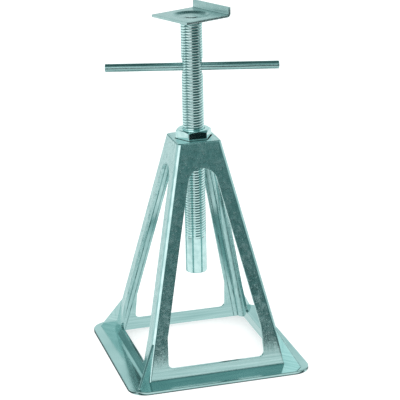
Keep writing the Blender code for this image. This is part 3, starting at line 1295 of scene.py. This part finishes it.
@dataclass
class Studio:
    """A white sweep lit all round, with the dark of the room in front, and the camera."""

    eye: tuple[float, float, float] = (-374.157 * MM, -1345.312 * MM, 618.07 * MM)
    yaw: float = 15.74
    pitch: float = 18.47
    roll: float = -1.13
    lens: float = 140.87
    sensor: float = 36.0
    floor_size: float = 14.0
    floor_rough: float = 0.9
    floor_paint: str = "#C6C8C8"
    floor_glow: str = "#C2C2C2"
    black: str = "#000000"
    base_half: float = 87.2 * MM
    under_fade: Pair = (0.7, 1.2)
    contact_fade: Pair = (1.0 * MM, 3.5 * MM)
    table_front: float = 0.55
    table_fade: float = 0.03
    panel_side: float = -75.0
    panel_half: float = 0.24
    panel_soft: float = 1.4
    panel_start: float = 0.25
    dark: Sector = Sector(21.0, 24.0, 46.0)
    softbox: Sector = Sector(-45.0, 25.0, 33.0)
    nook_at: Sector = Sector(-153.0, 12.0, 26.0)
    box_rise: Pair = (-0.10, 0.0)
    box_fall: Pair = (0.62, 0.42)
    nook_fall: Pair = (0.40, 0.30)
    room_rise: Pair = (-0.04, 0.70)
    ceiling_rise: Pair = (0.50, 0.66)
    zenith_rise: Pair = (0.80, 0.94)
    table: str = "#EAF6F5"
    shade: str = "#D6E7E6"
    contact_shadow: str = "#3A5252"
    panel: str = "#577A79"
    floor_edge: str = "#061A1B"
    room: str = "#336463"
    room_top: str = "#93B5B4"
    nook: str = "#6E9594"
    around: str = "#D2E6E5"
    ceiling: str = "#5A807F"
    zenith: str = "#3A5F5E"
    box_light: tuple[float, ...] = (1.4, 1.4, 1.4, 1.0)
    sweep_light: tuple[float, ...] = (1.35, 1.35, 1.35, 1.0)

    def camera(self) -> None:
        """Set the camera where the photograph was taken from."""
        yaw, pitch, roll = (math.radians(a) for a in (self.yaw, self.pitch, self.roll))
        ahead = Vector((math.sin(yaw) * math.cos(pitch), math.cos(yaw) * math.cos(pitch), -math.sin(pitch)))
        level = Vector((math.cos(yaw), -math.sin(yaw), 0.0))
        upright = level.cross(ahead)
        right = level * math.cos(roll) + upright * math.sin(roll)
        up = upright * math.cos(roll) - level * math.sin(roll)
        data = bpy.data.cameras.new("camera")
        data.lens = self.lens
        data.sensor_width = self.sensor
        cam = bpy.data.objects.new("camera", data)
        bpy.context.scene.collection.objects.link(cam)
        cam.matrix_world = Matrix.Translation(self.eye) @ Matrix((right, up, -ahead)).transposed().to_4x4()
        bpy.context.scene.camera = cam

    def mirrored_floor(self, node: Adder) -> Socket:
        """Paint the floor as metal mirrors it: only as far as a table would reach, dim to the left, with
        painted shade under the base and a painted contact shadow round its flange.

        Args:
            node: Adds a node to the floor's material.

        Returns:
            The colour.
        """
        place = node("TexCoord", out="Object")
        sizes = node("VectorMath", [place], operation="ABSOLUTE")
        square = node("Math", [node("SeparateXYZ", [sizes], axis) for axis in "XY"], operation="MAXIMUM")
        # Painted shade under the base, and a painted contact shadow in a thin band along the flange's
        # outline.
        clear = node("MapRange", [square, *(share * self.base_half for share in self.under_fade)])
        edge = node("Math", [square, self.base_half], operation="SUBTRACT")
        close = node("Math", [edge], operation="ABSOLUTE")
        contact_shadow_mask = node("MapRange", [close, *self.contact_fade, *OVER])
        depth, ahead, aside = (
            node("VectorMath", [place, way], "Value", operation="DOT_PRODUCT")
            for way in map(towards, (self.dark.side, self.panel_side, self.panel_side + 90.0)))
        beyond = node("MapRange", [depth, self.table_front, self.table_front + self.table_fade])
        off = node("Math", [aside], operation="ABSOLUTE")
        strip = node("MapRange", [off, self.panel_half, self.panel_soft * self.panel_half, *OVER])
        reach = node("MapRange", [ahead, self.panel_start, 2 * self.panel_start])
        dim = node("Math", [strip, reach], operation="MULTIPLY")
        colour = node("Mix", {0: clear, 6: self.shade, 7: self.table}, **COLOURS)
        for share, paint in ((contact_shadow_mask, self.contact_shadow), (dim, self.panel), (beyond, self.floor_edge)):
            colour = node("Mix", {0: share, 6: colour, 7: paint}, **COLOURS)
        return colour

    def floor(self) -> None:
        """Lay the pale floor."""
        bpy.ops.object.select_all(action="DESELECT")
        bpy.ops.mesh.primitive_plane_add(size=self.floor_size)
        obj = bpy.context.object
        obj.name = "floor"
        mat = bpy.data.materials.new("white_sweep")
        mat.use_nodes = True
        tree = mat.node_tree
        node = partial(add_node, tree)
        glossy = node("LightPath", out="Is Glossy Ray")
        colour = node("Mix", {0: glossy, 6: self.floor_paint, 7: self.black}, **COLOURS)
        glow = node("Mix", {0: glossy, 6: self.floor_glow, 7: self.mirrored_floor(node)}, **COLOURS)
        sockets = tree.nodes["Principled BSDF"].inputs
        tree.links.new(colour, sockets["Base Color"])
        tree.links.new(glow, sockets["Emission Color"])
        sockets["Emission Strength"].default_value = 1.0
        sockets["Roughness"].default_value = self.floor_rough
        sockets["Specular IOR Level"].default_value = 0.0
        obj.data.materials.append(mat)

    def light(self) -> None:
        """Light the sweep evenly, and give metal a bright left, a dim right and a dark front to mirror."""
        world = bpy.data.worlds.new("sweep")
        bpy.context.scene.world = world
        world.use_nodes = True
        tree = world.node_tree
        node = partial(add_node, tree)
        look = node("TexCoord", out="Generated")
        height = node("SeparateXYZ", [look], "Z")
        level = node("VectorMath", [look, (1.0, 1.0, 0.0)], operation="MULTIPLY")
        level = node("VectorMath", [level], operation="NORMALIZE")
        sectors = []
        for part in (self.dark, self.softbox, self.nook_at):
            along = node("VectorMath", [level, towards(part.side)], "Value", operation="DOT_PRODUCT")
            limits = (math.cos(math.radians(angle)) for angle in (part.outer, part.inner))
            sectors.append(node("MapRange", [along, *limits], interpolation_type="SMOOTHSTEP"))
        front, wide, narrow = sectors
        heights = (self.box_rise, self.box_fall, self.nook_fall, self.room_rise, self.ceiling_rise,
                   self.zenith_rise)
        rising, fall, lower, lofty, high, top = (node("MapRange", [height, *span]) for span in heights)
        band = node("Math", [rising, fall], operation="MULTIPLY")
        box = node("Math", [band, wide], operation="MULTIPLY")
        corner = node("Math", [narrow, lower], operation="MULTIPLY")
        facing = node("Mix", {0: lofty, 6: self.room, 7: self.room_top}, **COLOURS)
        colour = node("Mix", {0: high, 6: self.around, 7: self.ceiling}, **COLOURS)
        layers = ((front, facing), (corner, self.nook), (top, self.zenith), (box, self.box_light))
        for share, paint in layers:
            colour = node("Mix", {0: share, 6: colour, 7: paint}, **COLOURS)
        glossy = node("LightPath", out="Is Glossy Ray")
        colour = node("Mix", {0: glossy, 6: self.sweep_light, 7: colour}, **COLOURS)
        sockets = tree.nodes["Background"].inputs
        tree.links.new(colour, sockets["Color"])
        sockets["Strength"].default_value = 1.0
        bpy.context.scene.view_settings.view_transform = "Standard"


def main() -> None:
    """Set the camera, build and dress the pieces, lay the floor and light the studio."""
    logging.basicConfig(level=logging.INFO, format="%(name)s: %(message)s")
    studio = Studio()
    studio.camera()
    cast = CastAluminium().make()
    plain_zinc = BrightZinc().make()
    thread_zinc = BrightZinc("bright_zinc_thread", threaded=True).make()
    CASTING.dress(cast)
    HexNut().dress(plain_zinc)
    ThreadedTube().dress(thread_zinc)
    CrossBar().dress(DrawnRod().make())
    TopPlug().dress(plain_zinc)
    dull_zinc = DullSheet().make()
    SwivelRivet().dress(dull_zinc)
    SwivelSaddle().dress(dull_zinc)
    studio.floor()
    studio.light()


if __name__ == "__main__":
    main()
